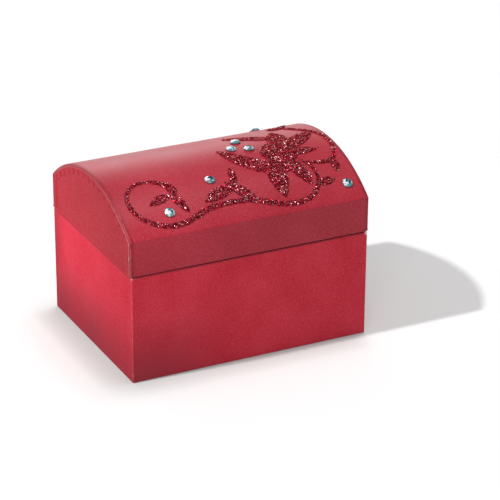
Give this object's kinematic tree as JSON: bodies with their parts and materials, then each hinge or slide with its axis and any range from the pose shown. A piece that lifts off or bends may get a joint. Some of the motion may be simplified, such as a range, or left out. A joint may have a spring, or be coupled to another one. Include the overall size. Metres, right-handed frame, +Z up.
{
  "type": "keepsake box",
  "caption": "Red paper-covered board box with a hinged domed lid, glitter scrollwork and rhinestones, for papers and small keepsakes.",
  "frame": {"origin": "middle of the footprint, on the surface that the box stands on", "axes": "+X along the box to its right end, -Y to its front, +Z up"},
  "size_m": [0.153, 0.1153, 0.1112],
  "materials": {
    "cover_paper": "satin",
    "greyboard": "matte",
    "gummed_tape": "matte",
    "lining_paper": "matte",
    "underside_paper": "matte",
    "hinge_cloth": "matte",
    "hinge_lining": "matte",
    "rhinestone": "polished",
    "glitter": "gloss"
  },
  "bodies": {
    "base": {"base_back_board": "greyboard", "base_corner_stay_back_left": "gummed_tape", "base_corner_stay_back_right": "gummed_tape", "base_corner_stay_front_left": "gummed_tape", "base_corner_stay_front_right": "gummed_tape", "base_floor_board": "greyboard", "base_floor_lining": "lining_paper", "base_front_board": "greyboard", "base_left_board": "greyboard", "base_right_board": "greyboard", "base_underside_sheet": "underside_paper", "base_wall_lining": "lining_paper", "base_wrap": "cover_paper", "hinge_inner_strip": "hinge_lining", "hinge_outer_strip": "hinge_cloth"},
    "lid": {"glitter_scrollwork": "glitter", "lid_arch_board": "greyboard", "lid_arch_lining": "lining_paper", "lid_back_board": "greyboard", "lid_corner_stay_back_left": "gummed_tape", "lid_corner_stay_back_right": "gummed_tape", "lid_corner_stay_front_left": "gummed_tape", "lid_corner_stay_front_right": "gummed_tape", "lid_front_board": "greyboard", "lid_left_end_board": "greyboard", "lid_left_end_lining": "lining_paper", "lid_left_end_paper": "cover_paper", "lid_right_end_board": "greyboard", "lid_right_end_lining": "lining_paper", "lid_right_end_paper": "cover_paper", "lid_wrap": "cover_paper", "rhinestone_1": "rhinestone", "rhinestone_2": "rhinestone", "rhinestone_3": "rhinestone", "rhinestone_4": "rhinestone", "rhinestone_5": "rhinestone", "rhinestone_6": "rhinestone", "rhinestone_7": "rhinestone"}
  },
  "joints": [
    {"name": "lid_hinge", "type": "hinge", "parent": "base", "child": "lid", "pos_m": [0, 0.0578, 0.06625], "axis": [-1, 0, 0], "range_deg": [0, 175], "deforming": ["hinge_outer_strip", "hinge_inner_strip"]}
  ]
}
